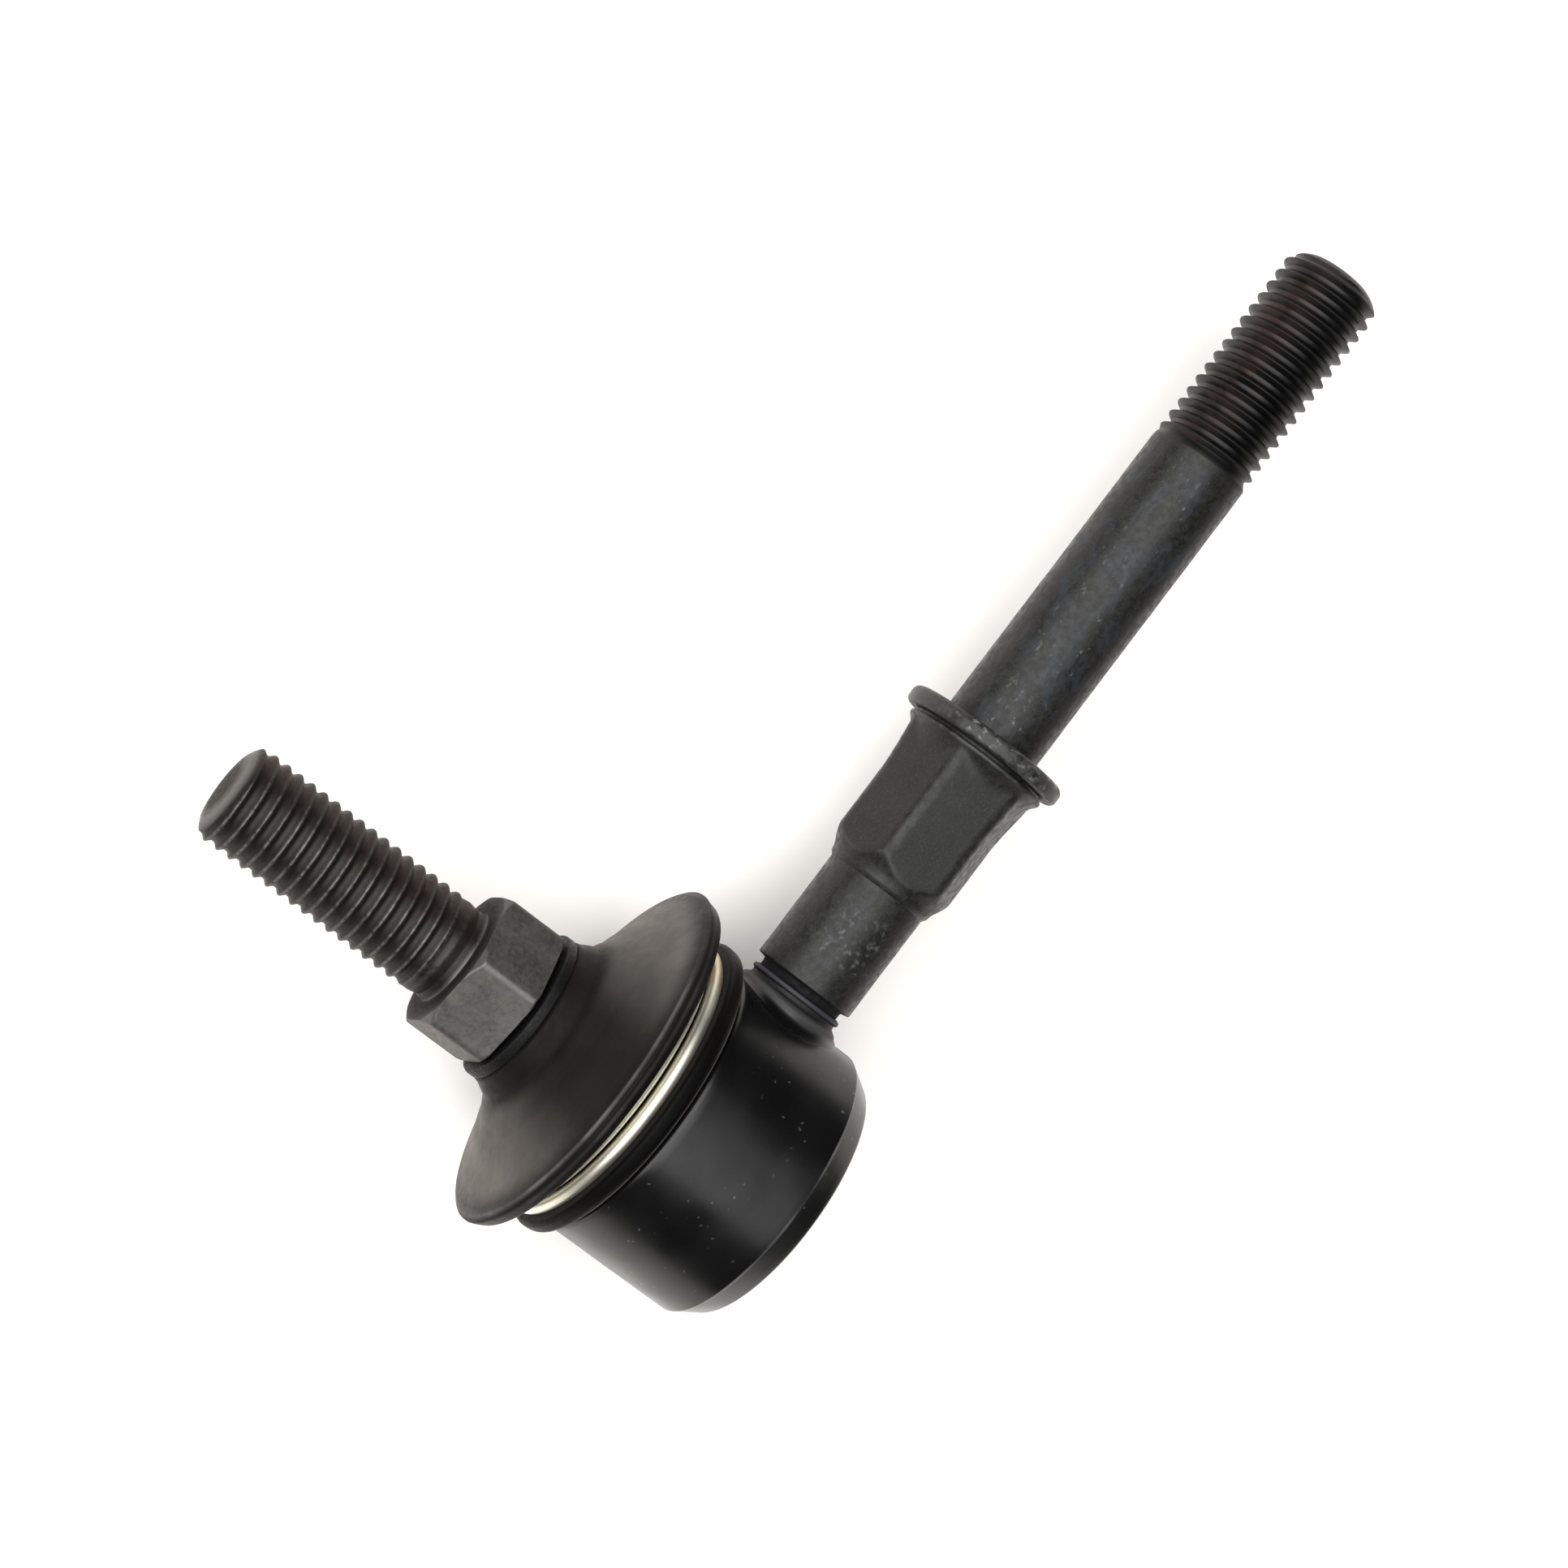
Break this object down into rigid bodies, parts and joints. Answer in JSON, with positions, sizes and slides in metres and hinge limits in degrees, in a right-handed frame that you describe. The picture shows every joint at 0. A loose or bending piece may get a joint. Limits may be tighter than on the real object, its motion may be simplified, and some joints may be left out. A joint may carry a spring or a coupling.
{
  "type": "stabilizer link",
  "caption": "Stabilizer link with a sealed ball stud at one end and a flanged, threaded rod with a spanner hexagon at the other.",
  "frame": {"origin": "centre of the flange's seat on the rod's axis", "axes": "+X along the rod towards its threaded tip, +Y along the ball stud towards its threaded tip, +Z square to both"},
  "size_m": [0.1403, 0.0765, 0.0434],
  "materials": {
    "phosphated_steel": "matte",
    "black_enamel": "gloss",
    "pressed_steel": "satin",
    "seat_polymer": "satin",
    "bright_steel": "polished",
    "bare_steel": "satin",
    "boot_rubber": "matte",
    "yellow_zinc": "polished"
  },
  "bodies": {
    "link": {"link_rod": "phosphated_steel", "socket_housing": "black_enamel", "end_cover": "pressed_steel", "ball_seat": "seat_polymer", "boot_clamp_ring": "yellow_zinc"},
    "boot": {"dust_boot": "boot_rubber"},
    "boot_neck": {"boot_neck_ring": "pressed_steel"},
    "stud": {"ball": "bright_steel", "threaded_stud": "bare_steel"}
  },
  "joints": [
    {"name": "swing_direction", "type": "hinge", "parent": "link", "child": "boot", "pos_m": [-0.0543, 0, 0], "axis": [0, 1, 0], "continuous": true},
    {"name": "stud_swing", "type": "hinge", "parent": "boot", "child": "boot_neck", "pos_m": [-0.0543, 0, 0], "axis": [0, 0, 1], "range_deg": [-20, 20], "deforming": ["dust_boot"]},
    {"name": "stud_spin", "type": "hinge", "parent": "boot_neck", "child": "stud", "pos_m": [-0.0543, 0, 0], "axis": [0, 1, 0], "continuous": true}
  ]
}
